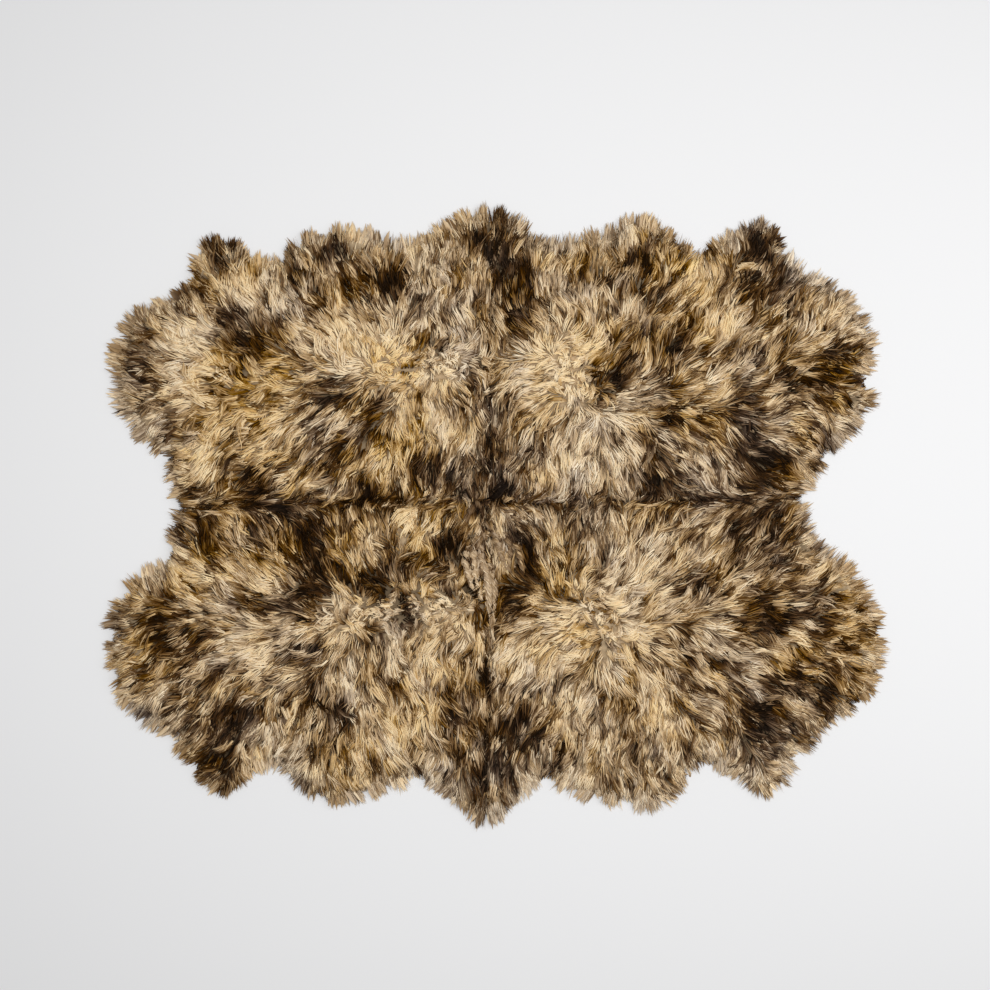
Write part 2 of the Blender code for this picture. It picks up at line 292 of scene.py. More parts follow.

# Patches of paler and darker wool for each place on the rug. Columns: a patch's middle,
# how far it reaches, and its tone, below 0 for darker and above 0 for paler
Patch = namedtuple("Patch", "x_mm y_mm reach_mm tone")
PATCHES = {
    "back left flank": (
        Patch(-685, 400, 52, 1.1), Patch(-695, 290, 58, 1.0),
    ),
    "back left shoulder": (
        Patch(-550, 515, 52, 1.0),
    ),
    "back left waist": (
        Patch(-660, 115, 48, 0.8), Patch(-650, -25, 50, -0.4),
    ),
    "back left saddle": (
        Patch(-495, 450, 45, 0.5), Patch(-460, 220, 50, 0.4), Patch(-560, 378, 56, -0.8),
    ),
    "back left crown": (
        Patch(-270, 350, 74, 1.9), Patch(-105, 320, 48, 0.8),
    ),
    "back left eye": (
        Patch(-335, 216, 32, 2.4),
    ),
    "back left crossing": (
        Patch(-135, 205, 58, 1.6), Patch(-155, 105, 46, -1.0),
    ),
    "back left seam": (
        Patch(-255, 110, 45, 0.8), Patch(-295, 45, 32, -1.2), Patch(-515, 30, 54, -1.3),
    ),
    "back left notch": (
        Patch(-155, 540, 42, 0.5), Patch(-220, 530, 28, -1.9),
    ),
    "back left lobe": (
        Patch(-325, 645, 55, 0.6), Patch(-360, 430, 38, 0.5), Patch(-370, 560, 80, -0.4),
    ),
    "back left corner": (
        Patch(-605, 590, 48, -1.2),
    ),
    "back left side": (
        Patch(-770, 340, 40, -0.6),
    ),
    "back left hollow": (
        Patch(-325, 215, 78, -1.4), Patch(-370, 270, 36, -0.6),
    ),
    "back seam": (
        Patch(-16, 255, 45, -0.6), Patch(-14, 120, 44, -0.8), Patch(25, 600, 66, -0.9),
        Patch(46, 480, 42, -0.6),
    ),
    "back right crown": (
        Patch(155, 335, 60, 1.4), Patch(68, 290, 46, 0.9), Patch(250, 315, 32, -1.3),
    ),
    "back right crossing": (
        Patch(182, 165, 60, 1.1),
    ),
    "back right lobe": (
        Patch(216, 440, 42, 0.6), Patch(284, 535, 52, -0.5),
    ),
    "back right seam": (
        Patch(260, 95, 50, 0.4), Patch(362, 82, 46, -0.9),
    ),
    "back right saddle": (
        Patch(510, 425, 52, 0.6), Patch(464, 255, 50, 0.4), Patch(400, 361, 38, -1.1),
        Patch(385, 200, 42, -0.8),
    ),
    "back right shoulder": (
        Patch(430, 535, 45, 0.4),
    ),
    "back right side": (
        Patch(745, 445, 46, 0.5), Patch(738, 340, 34, -2.2), Patch(620, 290, 55, -0.5),
    ),
    "back right corner": (
        Patch(575, 580, 56, -1.3), Patch(578, 480, 38, -0.6),
    ),
    "back right waist": (
        Patch(603, 126, 48, -0.9),
    ),
    "front left shoulder": (
        Patch(-700, -128, 44, 0.7), Patch(-493, -125, 34, 0.9),
    ),
    "front left crown": (
        Patch(-320, -245, 46, 1.3),
    ),
    "front left flank": (
        Patch(-540, -281, 62, 0.7),
    ),
    "front left crossing": (
        Patch(-185, -38, 46, 0.6), Patch(-133, -241, 46, 0.7), Patch(-92, -62, 34, -2.2),
    ),
    "front left seam": (
        Patch(-190, -386, 62, 0.5), Patch(-77, -455, 46, -0.8),
    ),
    "front left lobe": (
        Patch(-235, -520, 78, 0.5), Patch(-460, -520, 50, 0.4), Patch(-353, -448, 52, -1.0),
    ),
    "front left hollow": (
        Patch(-414, -38, 54, -1.4), Patch(-392, -144, 38, -1.6), Patch(-504, -200, 38, -1.3),
        Patch(-280, -150, 42, -0.8),
    ),
    "front left side": (
        Patch(-730, -268, 62, -1.1),
    ),
    "front left corner": (
        Patch(-583, -448, 44, -1.1), Patch(-623, -567, 54, -1.6),
    ),
    "front right crown": (
        Patch(250, -218, 115, 0.9),
    ),
    "front right seam": (
        Patch(40, -308, 58, 0.8), Patch(24, -200, 30, -2.4), Patch(70, -448, 46, -1.0),
        Patch(7, -567, 38, -0.9),
    ),
    "front right shoulder": (
        Patch(392, -50, 52, 0.5),
    ),
    "front right lobe": (
        Patch(340, -398, 40, 0.6), Patch(160, -448, 40, 0.6), Patch(441, -500, 46, 0.5),
    ),
    "front right corner": (
        Patch(666, -432, 34, 0.9), Patch(587, -459, 60, -1.6),
    ),
    "front right crossing": (
        Patch(66, -84, 27, -1.9),
    ),
    "crossing": (
        Patch(-10, 40, 42, -0.6), Patch(-46, -140, 34, -1.3),
    ),
    "front right side": (
        Patch(734, -376, 52, -1.1), Patch(617, -241, 48, -1.1), Patch(779, -268, 38, -0.9),
    ),
    "front right waist": (
        Patch(576, -10, 48, -1.4),
    ),
}


# How a curly lock winds: its radius, the length of a turn, the points along each of its strands, how
# thick the strands are, how much thinner the lock gets towards its tip, and how deep its ends lie in the
# wool
CURL_RADIUS = 5 * MM
CURL_PITCH = 25 * MM
CURL_POINTS = 22
CURL_WIDTH = 0.5
CURL_TAPER = 0.65
CURL_ROOT_DEPTH = 14 * MM
CURL_TIP_DEPTH = 3 * MM

# How the strands of a curly lock differ: their phase, their spread, their lengths, and the middle and
# the spread of their shades and warmths. A strand is also painted paler where each turn comes up and
# darker where it goes down, as light on top of the turn and shade under it
CURL_PHASE = 0.4
CURL_SPREAD = 4.5 * MM
CURL_LENGTHS = (0.75, 1.0)
CURL_SHADE = (-0.08, 0.09)
CURL_WARMTH = (0.04, 0.06)
CURL_TURN_PAINTED_LIGHT = 0.15

# Curly locks by the crossing of the seams. Columns: the lock's root and tip, how far it bows to one
# side, its shade from 0 to 1, and its warmth from 0, grey, to 1, golden
Curl = namedtuple("Curl", "root_x_mm root_y_mm tip_x_mm tip_y_mm bow_mm shade warmth")
CURLS = (
    Curl(-66, -66, -44, -184, -8, 0.66, 0.40),
    Curl(-50, -74, -30, -196, -6, 0.70, 0.42),
    Curl(-34, -94, -14, -236, 8, 0.70, 0.38),
    Curl(-18, -104, -8, -266, 9, 0.64, 0.40),
    Curl(-30, -60, -22, -150, -7, 0.52, 0.38),
    Curl(-3, -40, 46, -118, -12, 0.60, 0.45),
    Curl(6, -50, 36, -136, -8, 0.54, 0.42),
    Curl(-10, -30, 10, -124, 8, 0.50, 0.38),
    Curl(-18, -12, -50, -84, 7, 0.48, 0.40),
    Curl(26, 12, 62, -48, 6, 0.44, 0.40),
    Curl(-34, 30, -76, -40, -7, 0.42, 0.44),
    Curl(12, 34, 50, 20, 6, 0.58, 0.60),
    Curl(40, -60, 62, -140, 5, 0.50, 0.45),
    Curl(18, -36, 26, -132, 9, 0.46, 0.40),
)

# The wool's colours along its shades, each at its place from 0 to 1
WOOL_SHADES = {"shadow": 0.05, "dark": 0.22, "brown": 0.45, "tan": 0.72, "cream": 1.0}

# How strong the wool's colours are where it is greyest and most golden
SATURATION = (0.5, 1.32)

# Soft lights, which shine at the rug's middle. Columns: the light, its place, and its two sides
Light = namedtuple("Light", "name x y z width height")
LIGHTS = (
    Light("key", 2.6, 0.1, 2.4, 2.2, 2.2),
    Light("overhead", -0.1, 0.36, 3.6, 2.6, 1.2),
)


def length_property(name, description, default):
    return bpy.props.FloatProperty(name=name, description=description, default=default, unit="LENGTH")


def power_property(name, description, default):
    return bpy.props.FloatProperty(name=name, description=description, default=default, unit="POWER")


def share_property(name, description, default):
    return bpy.props.FloatProperty(
        name=name, description=description, default=default, min=0.0, max=1.0, subtype="FACTOR"
    )


def colour_property(name, description, default):
    return bpy.props.FloatVectorProperty(
        name=name, description=description, default=(*default, 1), size=4, subtype="COLOR"
    )


def count_property(name, description, default):
    return bpy.props.IntProperty(name=name, description=description, default=default, min=1)


class WoolSizes(bpy.types.PropertyGroup):
    """Sizes of the wool's strands and locks."""

    root_spacing: length_property("Root spacing", "Distance between strands where they grow", 4.58 * MM)
    lock_spacing: length_property("Lock spacing", "Distance between neighbouring locks", 19 * MM)
    wisp_spacing: length_property("Wisp spacing", "Distance between a lock's own tufts", 7.5 * MM)
    reach: length_property("Reach", "How far a lock leans over, from root to tip, seen from above", 52 * MM)
    width: length_property("Strand width", "Width of a strand at its middle", 2.15 * MM)
    lock_gather: share_property("Lock gather", "How closely a lock's wisps draw together at its tip", 0.3)
    wisp_gather: share_property("Wisp gather", "How closely a wisp's strands draw together at its tip", 0.6)
    wisps_per_lock: count_property("Edge wisps", "Wisps of the fringe for each lock of the rim", 36)
    strands_per_wisp: count_property("Edge strands", "Strands in each wisp of the fringe", 2)
    strands_per_curl: count_property("Curl strands", "Strands in each curly lock", 32)
    seed: count_property("Seed", "Chooses another random set of strands", 11)


class WoolColours(bpy.types.PropertyGroup):
    """Colours of the wool, from its darkest strands to its palest."""

    shadow: colour_property("Shadow", "Darkest wool", (0.010, 0.0045, 0.0012))
    dark: colour_property("Dark", "Dark brown wool", (0.070, 0.029, 0.006))
    brown: colour_property("Brown", "Middle brown wool", (0.238, 0.136, 0.054))
    tan: colour_property("Tan", "Tan wool", (0.585, 0.405, 0.215))
    cream: colour_property("Cream", "Palest wool", (0.94, 0.765, 0.49))


class HideSizes(bpy.types.PropertyGroup):
    """Size and colour of the suede side."""

    thickness: length_property("Thickness", "Thickness of the leather", 2 * MM)
    suede: colour_property("Suede", "Colour of the leather side", (0.52, 0.41, 0.28))


class StageSizes(bpy.types.PropertyGroup):
    """The floor, the lights and the camera."""

    floor: colour_property("Floor", "Colour of the floor", (0.74, 0.74, 0.745))
    floor_width: length_property("Floor width", "Width of the square floor", 60.0)
    camera_height: length_property("Camera height", "Height of the camera over the floor", 3.094)
    key_power: power_property("Key light", "Power of the large soft light", 40.0)
    overhead_power: power_property("Overhead light", "Power of the soft light over the rug", 92.0)
    sky_strength: bpy.props.FloatProperty(
        name="Sky", description="Strength of the even light from all round", default=0.36
    )


# Fields over the rug's plan


def smooth_step(values):
    """Ease from 0 to 1."""
    values = np.clip(values, 0, 1)
    return values * values * (3 - 2 * values)


def lattice_noise(points, length, seed):
    """Smooth random values from -1 to 1, whose swells are about this length apart."""
    lattice = np.random.default_rng(seed).uniform(-1, 1, (LATTICE, LATTICE))
    scaled = points / length
    cell = np.floor(scaled).astype(int)
    part = smooth_step(scaled - cell)
    x0, y0 = cell[:, 0] % LATTICE, cell[:, 1] % LATTICE
    x1, y1 = (x0 + 1) % LATTICE, (y0 + 1) % LATTICE
    low = lattice[x0, y0] * (1 - part[:, 0]) + lattice[x1, y0] * part[:, 0]
    high = lattice[x0, y1] * (1 - part[:, 0]) + lattice[x1, y1] * part[:, 0]
    return low * (1 - part[:, 1]) + high * part[:, 1]


def swells_at(points, swells):
    """The sum of some random swells at each point."""
    return sum(swell.strength * lattice_noise(points, swell.length_mm * MM, swell.seed) for swell in swells)


def fading(distance, reach):
    """1 at no distance, and less and less further off."""
    return np.exp(-((distance / reach) ** 2))


def spot_at(points, spot):
    """How much each point feels a spot: 1 at its middle, and less and less further off."""
    middle = np.array((spot.x_mm, spot.y_mm)) * MM
    return fading(np.linalg.norm(points - middle, axis=1), spot.reach_mm * MM)


class PlanGrid:
    """A grid over the rug's plan. Values known at its points are read between them."""

    def __init__(self, cell):
        self.cell = cell
        self.low = np.array(CAD_BOX[0])[:2] - GRID_MARGIN
        span = np.array(CAD_BOX[1])[:2] + GRID_MARGIN - self.low
        self.counts = np.ceil(span / cell).astype(int) + 1

    def points(self):
        squares = np.stack(np.indices(self.counts), axis=-1)
        return self.low + squares.reshape(-1, 2) * self.cell

    def read(self, values, points):
        scaled = np.clip((points - self.low) / self.cell, 0, self.counts - 1.001)
        square = scaled.astype(int)
        i, j = square[:, 0], square[:, 1]
        x, y = (scaled - square).T.reshape(2, -1, *[1] * (values.ndim - 2))
        low = values[i, j] * (1 - x) + values[i + 1, j] * x
        high = values[i, j + 1] * (1 - x) + values[i + 1, j + 1] * x
        return low * (1 - y) + high * y


class Ground(PlanGrid):
    """The solids' top: its height over the floor, and how far inside the slab's rim each place is, below 0
    outside it."""

    def __init__(self):
        super().__init__(GROUND_CELL)
        tops = [solid_tree(skin.node) for skin in SKINS]
        boxes = [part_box(skin.node) for skin in SKINS]
        sharp = np.array([top_at(x, y, tops, boxes) for x, y in self.points()]).reshape(self.counts)
        sharp = without_gaps(sharp)
        self.inside = self.distance_inside(sharp > SLAB_EDGE_HEIGHT)
        self.height = blurred(sharp)

    def distance_inside(self, slab):
        rim = np.zeros(slab.shape, bool)
        for axis in (0, 1):
            for step in (-1, 1):
                rim |= slab & ~np.roll(slab, step, axis)
        cells = np.argwhere(rim)
        tree = KDTree(len(cells))
        for index, (i, j) in enumerate(cells):
            tree.insert((i, j, 0), index)
        tree.balance()
        distance = np.array([tree.find((i, j, 0))[2] for i, j in np.ndindex(slab.shape)])
        return np.where(slab.ravel(), distance, -distance).reshape(slab.shape) * self.cell

    def height_at(self, points):
        return self.read(self.height, points)

    def inside_at(self, points):
        return self.read(self.inside, points)

    def inward_at(self, points):
        """The straightest way in from the rim, as a direction."""
        steps = np.eye(2) * self.cell
        slope = [self.inside_at(points + step) - self.inside_at(points - step) for step in steps]
        return unit(np.stack(slope, axis=1))


class Comb(PlanGrid):
    """Which way one skin's wool leans, all over the plan."""

    def __init__(self, skin):
        super().__init__(COMB_CELL)
        self.skin = skin
        self.flow = lean_at(self.points(), skin, *edge_locks(skin.node)).reshape(*self.counts, 2)

    def at(self, points):
        return unit(self.read(self.flow, points))

    def path(self, roots, length, shares, angle, curl):
        """Points at these shares of a strand's length. It follows the lean, turned by its own angle and,
        more and more, by its curl."""
        places = [roots]
        for share, step in zip(shares, np.diff(shares)):
            turn = angle + curl * (share + step / 2)
            half = places[-1] + turned(self.at(places[-1]), turn) * (length * step / 2)[:, None]
            places.append(places[-1] + turned(self.at(half), turn) * (length * step)[:, None])
        return np.stack(places, axis=1)

    def streaks(self, points, streak):
        """Random tones drawn out along the lean."""
        width = streak.width_mm * MM
        total = lattice_noise(points, width, streak.seed)
        step = streak.length_mm * MM / 2 / STREAK_STEPS
        for sense in (-1, 1):
            place = points
            for _ in range(STREAK_STEPS):
                place = place + sense * step * self.at(place)
                total = total + lattice_noise(place, width, streak.seed)
        return streak.strength * total / total.std()


def solid_tree(node):
    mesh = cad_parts[node].data
    return BVHTree.FromPolygons([v.co for v in mesh.vertices], [p.vertices for p in mesh.polygons])


def top_at(x, y, trees, boxes):
    """Height of the solids over one point of the floor."""
    for tree, (low, high) in zip(trees, boxes):
        if low.x <= x <= high.x and low.y <= y <= high.y:
            hit = tree.ray_cast(Vector((x, y, 1)), Vector((0, 0, -1)))[0]
            if hit is not None:
                return hit.z
    return 0.0


def without_gaps(values):
    """Heights with the hairline gaps between the skins filled."""
    filled = values
    for axis in (0, 1):
        beside = np.minimum(np.roll(values, 1, axis), np.roll(values, -1, axis))
        filled = np.maximum(filled, beside)
    return filled


def blurred(values):
    for axis in (0, 1):
        for _ in range(2):
            values = (np.roll(values, 1, axis) + 2 * values + np.roll(values, -1, axis)) / 4
    return values


def depsgraph():
    return bpy.context.evaluated_depsgraph_get()


def from_seams(points):
    """Signed distances from the lengthwise and the crosswise seam."""
    offset = points - SEAM_CROSSING
    return offset - SEAM_LEAN * offset[:, ::-1]


def on_skin(points, skin):
    """Which points lie on this skin's side of both seams."""
    return (from_seams(points) * (skin.side_x, skin.side_y) > 0).all(axis=1)


def node_points(node):
    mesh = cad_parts[node].data
    points = np.empty(len(mesh.vertices) * 3, np.float32)
    mesh.vertices.foreach_get("co", points)
    return np.unique(points.reshape(-1, 3).round(6), axis=0).astype(float)


def edge_locks(node):
    """Roots and tips, seen from above, of the locks that the solid has round its free edge."""
    points = node_points(node)
    heights = points[:, 2]
    tips = points[(heights > LOCK_TIP_HEIGHT[0]) & (heights < LOCK_TIP_HEIGHT[1])][:, :2]
    middles = points[(heights > LOCK_MIDDLE_HEIGHT[0]) & (heights < LOCK_MIDDLE_HEIGHT[1])][:, :2]
    distances = np.linalg.norm(tips[:, None] - middles[None], axis=2)
    nearest = np.argsort(distances, axis=1)[:, :2]
    centres = middles[nearest].mean(axis=1)
    return 2 * centres - tips, tips


def unit(vectors):
    return vectors / np.maximum(np.linalg.norm(vectors, axis=-1, keepdims=True), 1e-9)


def turned(vectors, angles):
    """Vectors in plan, turned by these angles."""
    cos, sin = np.cos(angles), np.sin(angles)
    x, y = vectors[:, 0], vectors[:, 1]
    return np.stack((x * cos - y * sin, x * sin + y * cos), axis=1)


def quarter_turned(vectors):
    """Vectors in plan, turned left by a right angle."""
    return np.stack((-vectors[:, 1], vectors[:, 0]), axis=1)


def crown_offset(points, skin):
    """From the nearest point of the skin's crown to each point."""
    start = np.array((skin.from_x_mm, skin.from_y_mm)) * MM
    line = np.array((skin.to_x_mm, skin.to_y_mm)) * MM - start
    share = np.clip((points - start) @ line / (line @ line), 0, 1)
    return points - start - share[:, None] * line


def from_crown(points, skin):
    return np.linalg.norm(crown_offset(points, skin), axis=1)


def tousled_at(points, skin):
    """How tousled the wool is, from 0 to about 1."""
    return sum(spot_at(points, spot) for spot in TOUSLES) + fading(from_crown(points, skin), WHORL_REACH)


def lean_at(points, skin, roots, tips):
    """Which way the wool leans: out from the crown, fanned across the rug, along the seams beside them, and
    at the rim partly as the edge locks do."""
    away = crown_offset(points, skin)
    fan = np.where(away[:, 1] * skin.side_y > 0, skin.fan_out, skin.fan_in)
    fan = 1 + (fan - 1) * smooth_step(np.linalg.norm(away, axis=1) / FAN_REACH)
    flow = unit(away * np.stack((np.ones(len(fan)), fan), axis=1))
    distances = np.linalg.norm(points[:, None] - roots[None], axis=2)
    weights = 1 / (distances + 10 * MM) ** 4
    rim_flow = unit(weights @ unit(tips - roots))
    near_rim = RIM_LEAN * (1 - smooth_step((distances.min(axis=1) - RIM_LEAN_START) / RIM_LEAN_WIDTH))
    flow = unit(flow * (1 - near_rim[:, None]) + rim_flow * near_rim[:, None])
    flow = turned(flow, swells_at(points, LEAN_SWELLS) * (1 + 1.2 * tousled_at(points, skin)))
    across = np.abs(from_seams(points)) / (SEAM_BEND_WIDTH_MM * MM)
    return unit(flow * (SEAM_BEND + (1 - SEAM_BEND) * smooth_step(across)))


def patch_tone(points):
    """Tone of the patches, with their shapes broken up."""
    warp = np.stack([swells_at(points, swells) for swells in PATCH_WARP_SWELLS_MM], axis=1)
    warped = points + warp * MM
    return sum(patch.tone * spot_at(warped, patch) for patches in PATCHES.values() for patch in patches)


# Locks and strands


def jittered_grid(spacing, rng):
    """Points spread evenly but not in rows over the whole rug, one in each square of a grid."""
    low = np.array(CAD_BOX[0])[:2]
    high = np.array(CAD_BOX[1])[:2]
    counts = np.ceil((high - low) / spacing).astype(int)
    squares = np.stack(np.indices(counts), axis=-1)
    return low + (squares + rng.uniform(0, 1, squares.shape)) * spacing


def nearest_in_grid(points, grid, spacing):
    """Index of each point's nearest grid point, counted along the grid's rows."""
    low = np.array(CAD_BOX[0])[:2]
    square = np.floor((points - low) / spacing).astype(int)
    best = np.full(len(points), np.inf)
    found = np.zeros(len(points), int)
    for step_x in (-1, 0, 1):
        for step_y in (-1, 0, 1):
            i = np.clip(square[:, 0] + step_x, 0, grid.shape[0] - 1)
            j = np.clip(square[:, 1] + step_y, 0, grid.shape[1] - 1)
            distance = np.linalg.norm(grid[i, j] - points, axis=1)
            closer = distance < best
            best[closer] = distance[closer]
            found[closer] = (i * grid.shape[1] + j)[closer]
    return found


def add_piece(name, data):
    """A new object in the scene that shows this data."""
    piece = bpy.data.objects.new(name, data)
    bpy.context.scene.collection.objects.link(piece)
    return piece


def strand_mesh(name, spines, widths, shades, warmths):
    """One mesh of many closed strands. spines holds each strand's points from root to tip. Between its
    ends a strand is a flat arch, as wide at each point as widths says, over a keel from root to tip."""
    count, steps = spines.shape[:2]
    rings = steps - 2
    side = unit(np.cross(unit(spines[:, 2:] - spines[:, :-2]), np.array((0.05, 0.03, 1.0))))
    half = side * widths[..., None] / 2
    pairs = np.stack((spines[:, 1:-1] - half, spines[:, 1:-1] + half), axis=2).reshape(count, rings * 2, 3)
    points = np.concatenate((spines[:, :1], pairs, spines[:, -1:]), axis=1)
    points[..., 2] = np.maximum(points[..., 2], 0.4 * MM)

    tip = rings * 2 + 1
    left = [0, *range(1, tip, 2), tip]
    right = [0, *range(2, tip, 2), tip]
    faces = [(0, right[1], left[1]), (left[-2], right[-2], tip)]
    for k in range(1, rings):
        faces += [(left[k], right[k], right[k + 1]), (left[k], right[k + 1], left[k + 1])]
    for k in range(1, rings + 1):
        faces += [(0, left[k], left[k + 1]), (0, right[k + 1], right[k])]
    triangles = (np.array(faces)[None] + (np.arange(count) * (tip + 1))[:, None, None]).reshape(-1, 3)

    spread = np.array([0.0] + [0.02, -0.02] * rings + [0.01])
    step_of_vertex = np.array([0] + [k for k in range(1, steps - 1) for _ in (0, 1)] + [steps - 1])
    shade = np.clip(shades[:, step_of_vertex], 0.01, 0.99).ravel()
    warmth = np.clip(warmths[:, None] + spread, 0.01, 0.99).ravel()
    mesh = bpy.data.meshes.new(name)
    fill_mesh(mesh, points.reshape(-1, 3), triangles)
    add_values(mesh, "shade", shade)
    add_values(mesh, "warmth", warmth)
    add_palette_map(mesh, triangles, shade, warmth)
    arch_faces = 2 + 2 * (rings - 1)
    keel = np.tile(np.arange(len(faces)) >= arch_faces, count)
    mesh.attributes.new("sharp_face", "BOOLEAN", "FACE").data.foreach_set("value", keel)
    mesh.materials.append(wool_material())
    piece = add_piece(name, mesh)
    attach(piece, BODY)
    return piece


def fill_mesh(mesh, points, triangles):
    mesh.vertices.add(len(points))
    mesh.vertices.foreach_set("co", points.astype(np.float32).ravel())
    mesh.loops.add(triangles.size)
    mesh.loops.foreach_set("vertex_index", triangles.astype(np.int32).ravel())
    mesh.polygons.add(len(triangles))
    mesh.polygons.foreach_set("loop_start", np.arange(0, triangles.size, 3, dtype=np.int32))
    mesh.update(calc_edges=True)


def add_values(mesh, name, values):
    attribute = mesh.attributes.new(name, "FLOAT", "POINT")
    attribute.data.foreach_set("value", values.astype(np.float32))


def add_palette_map(mesh, triangles, shade, warmth):
    """A map whose two directions are the shade and the warmth, so that it holds all the wool's colours."""
    layer = mesh.uv_layers.new(name="OFBake")
    places = np.stack((shade, warmth), axis=1)[triangles.ravel()]
    layer.data.foreach_set("uv", places.astype(np.float32).ravel())


# Materials


def new_material(name, roughness, specular):
    material = bpy.data.materials.new(name)
    material.use_nodes = True
    nodes = material.node_tree.nodes
    nodes["Principled BSDF"].inputs["Roughness"].default_value = roughness
    nodes["Principled BSDF"].inputs["Specular IOR Level"].default_value = specular
    return material, nodes, material.node_tree.links


def wool_material():
    """Wool whose colour runs along each strand, from shadow brown to cream, and from grey to golden."""
    found = bpy.data.materials.get("mottled_wool")
    if found:
        return found
    colours = bpy.context.scene.rug_colours
    material, nodes, links = new_material("mottled_wool", 0.6, 0.04)
    shade = nodes.new("ShaderNodeAttribute")
    shade.attribute_name = "shade"
    ramp = nodes.new("ShaderNodeValToRGB")
    while len(ramp.color_ramp.elements) < len(WOOL_SHADES):
        ramp.color_ramp.elements.new(0.5)
    for element, (name, place) in zip(ramp.color_ramp.elements, WOOL_SHADES.items()):
        element.position = place
        element.color = getattr(colours, name)
    warmth = nodes.new("ShaderNodeAttribute")
    warmth.attribute_name = "warmth"
    saturation = nodes.new("ShaderNodeMapRange")
    saturation.inputs["To Min"].default_value, saturation.inputs["To Max"].default_value = SATURATION
    tint = nodes.new("ShaderNodeHueSaturation")
    links.new(shade.outputs["Fac"], ramp.inputs["Fac"])
    links.new(warmth.outputs["Fac"], saturation.inputs["Value"])
    links.new(saturation.outputs["Result"], tint.inputs["Saturation"])
    links.new(ramp.outputs["Color"], tint.inputs["Color"])
    links.new(tint.outputs["Color"], nodes["Principled BSDF"].inputs["Base Color"])
    return material


def add_noise(nodes, links, scale, detail):
    """A noise over the whole rug."""
    place = nodes.new("ShaderNodeNewGeometry")
    noise = nodes.new("ShaderNodeTexNoise")
    noise.inputs["Scale"].default_value = scale
    noise.inputs["Detail"].default_value = detail
    links.new(place.outputs["Position"], noise.inputs["Vector"])
    return noise


def add_ramp(nodes, links, low, high):
    """The base colour, from one colour to another."""
    ramp = nodes.new("ShaderNodeValToRGB")
    ramp.color_ramp.elements[0].color = (*low, 1)
    ramp.color_ramp.elements[1].color = (*high, 1)
    links.new(ramp.outputs["Color"], nodes["Principled BSDF"].inputs["Base Color"])
    return ramp


def add_bump(nodes, links, noise, height):
    bump = nodes.new("ShaderNodeBump")
    bump.inputs["Distance"].default_value = height
    links.new(noise.outputs["Fac"], bump.inputs["Height"])
    links.new(bump.outputs["Normal"], nodes["Principled BSDF"].inputs["Normal"])


def underwool_material():
    """Dense wool close to the skin, in the wool's own tones, darkened by a noise to paint the shade deep
    between the strands.
    """
    material, nodes, links = new_material("felted_underwool", 0.95, 0.1)
    noise = add_noise(nodes, links, 60, 6)
    ramp = add_ramp(nodes, links, (0.03, 0.016, 0.006), (0.86, 0.64, 0.39))
    shade = nodes.new("ShaderNodeAttribute")
    shade.attribute_name = "shade"
    # Multiplying the wool's shade by the noise paints it darker, as the shade between the strands
    mix = nodes.new("ShaderNodeMath")
    mix.operation = "MULTIPLY"
    links.new(noise.outputs["Fac"], mix.inputs[0])
    links.new(shade.outputs["Fac"], mix.inputs[1])
    links.new(mix.outputs["Value"], ramp.inputs["Fac"])
    add_bump(nodes, links, noise, 4 * MM)
    return material


def suede_material():
    """Pale suede with soft blotches and a fine nap."""
    material, nodes, links = new_material("pale_suede", 0.9, 0.2)
    nodes["Principled BSDF"].inputs["Sheen Weight"].default_value = 0.3
    suede = np.array(bpy.context.scene.rug_hide.suede[:3])
    blotch = add_noise(nodes, links, 9, 5)
    nap = add_noise(nodes, links, 900, 2)
    ramp = add_ramp(nodes, links, suede * (0.72, 0.70, 0.66), suede * 1.15)
    links.new(blotch.outputs["Fac"], ramp.inputs["Fac"])
    add_bump(nodes, links, nap, 0.3 * MM)
    return material


def floor_material():
    """A plain, pale, matt floor."""
    material, nodes, _ = new_material("pale_floor", 0.85, 0.1)
    nodes["Principled BSDF"].inputs["Base Color"].default_value = bpy.context.scene.rug_stage.floor
    return material


# The pieces


def make_hide(skin, material):
    """The leather of one skin: the solid's flat underside without its edge locks, given its thickness."""
    name = skin.node.replace("skin", "hide")
    bm = bmesh.new()
    bm.from_mesh(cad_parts[skin.node].data)
    bmesh.ops.remove_doubles(bm, verts=bm.verts, dist=0.01 * MM)
    tips = [v for v in bm.verts if LOCK_TIP_HEIGHT[0] < v.co.z < LOCK_TIP_HEIGHT[1]]
    lock_verts = {other for tip in tips for edge in tip.link_edges for other in edge.verts}
    bottom = {v for v in bm.verts if v.co.z < LOCK_TIP_HEIGHT[0] and v not in lock_verts}
    others = [face for face in bm.faces if not all(v in bottom for v in face.verts)]
    bmesh.ops.delete(bm, geom=others, context="FACES")
    bmesh.ops.reverse_faces(bm, faces=bm.faces)
    area = sum(face.calc_area() for face in bm.faces)
    mesh = bpy.data.meshes.new(name)
    bm.to_mesh(mesh)
    bm.free()
    piece = add_piece(name, mesh)
    solidify = piece.modifiers.new("thickness", "SOLIDIFY")
    solidify.thickness = bpy.context.scene.rug_hide.thickness
    solidify.offset = 1
    piece.data = bpy.data.meshes.new_from_object(piece.evaluated_get(depsgraph()))
    piece.data.name = name
    piece.modifiers.clear()
    piece.data.materials.clear()
    piece.data.materials.append(material)
    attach(piece, BODY)
    return piece, area


